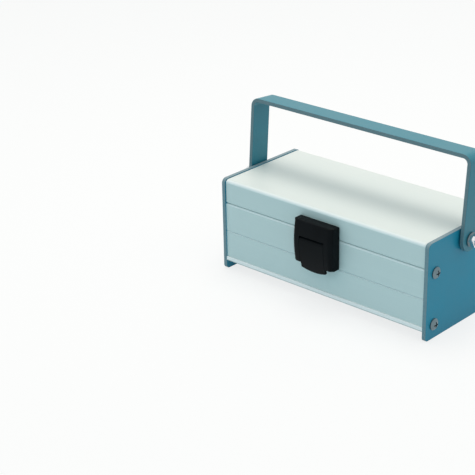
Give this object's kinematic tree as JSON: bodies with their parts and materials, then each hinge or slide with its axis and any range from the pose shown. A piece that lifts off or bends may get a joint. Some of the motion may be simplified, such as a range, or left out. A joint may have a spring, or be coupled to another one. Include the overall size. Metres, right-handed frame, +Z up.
{
  "type": "shielded syringe carrier",
  "caption": "Small lead-lined metal carrying case for syringes, with flat end plates as feet, a hinged lid, a moulded draw latch and a swinging strap handle.",
  "frame": {"origin": "midway between the two end plates, front to back and side to side, on the level of the end plates' lower edges that the carrier stands on", "axes": "+X along the case from the left end plate to the right one, +Y from the latch to the hinge, +Z up"},
  "size_m": [0.2336, 0.1035, 0.1349],
  "materials": {
    "case_aluminium": "satin",
    "plate_paint": "satin",
    "screw_steel": "satin",
    "bright_chrome": "polished",
    "dark_nylon": "matte",
    "hinge_steel": "satin",
    "rivet_aluminium": "satin",
    "latch_plastic": "satin",
    "lead_sheet": "matte",
    "grey_foam": "matte"
  },
  "bodies": {
    "case": {"base_shell": "case_aluminium", "end_plate_left": "plate_paint", "end_plate_right": "plate_paint", "plate_screws": "screw_steel", "foam_cradle": "grey_foam", "hinge_leaf_base": "hinge_steel", "hinge_pin": "hinge_steel", "hinge_rivets_base": "rivet_aluminium", "latch_base": "latch_plastic", "latch_base_rivets": "rivet_aluminium", "latch_lever_pin": "screw_steel", "base_lead_floor": "lead_sheet", "base_lead_front": "lead_sheet", "base_lead_back": "lead_sheet", "base_lead_ends": "lead_sheet", "handle_studs": "screw_steel", "handle_spacers": "dark_nylon", "handle_spring_washers": "screw_steel", "handle_cap_nuts": "bright_chrome"},
    "lid": {"lid_shell": "case_aluminium", "lid_end_caps": "case_aluminium", "lid_cap_screws": "screw_steel", "lid_foam_pad": "grey_foam", "hinge_leaf_lid": "hinge_steel", "hinge_rivets_lid": "rivet_aluminium", "latch_keeper": "latch_plastic", "latch_keeper_rivets": "rivet_aluminium", "lid_lead_top": "lead_sheet", "lid_lead_front": "lead_sheet", "lid_lead_back": "lead_sheet", "lid_lead_ends": "lead_sheet"},
    "handle": {"handle_strap": "plate_paint"},
    "latch_lever": {"latch_lever": "latch_plastic", "latch_claw_pin": "screw_steel"},
    "latch_claw": {"latch_claw": "latch_plastic"}
  },
  "joints": [
    {"name": "lid_hinge", "type": "hinge", "parent": "case", "child": "lid", "pos_m": [0, 0.0478, 0.0579], "axis": [-1, 0, 0], "range_deg": [0, 90]},
    {"name": "handle_swing", "type": "hinge", "parent": "case", "child": "handle", "pos_m": [0, 0, 0.069], "axis": [1, 0, 0], "range_deg": [0, 76.5]},
    {"name": "latch_lever_turn", "type": "hinge", "parent": "case", "child": "latch_lever", "pos_m": [0, -0.0494, 0.0532], "axis": [-1, 0, 0], "range_deg": [0, 90]},
    {"name": "latch_claw_turn", "type": "hinge", "parent": "latch_lever", "child": "latch_claw", "pos_m": [0, -0.0494, 0.0457], "axis": [1, 0, 0], "range_deg": [0, 103.5]}
  ],
  "couplings": [
    {"joint": "handle_swing", "follows": "lid_hinge", "ratio": 0.85},
    {"joint": "latch_claw_turn", "follows": "latch_lever_turn", "ratio": 1.15}
  ]
}
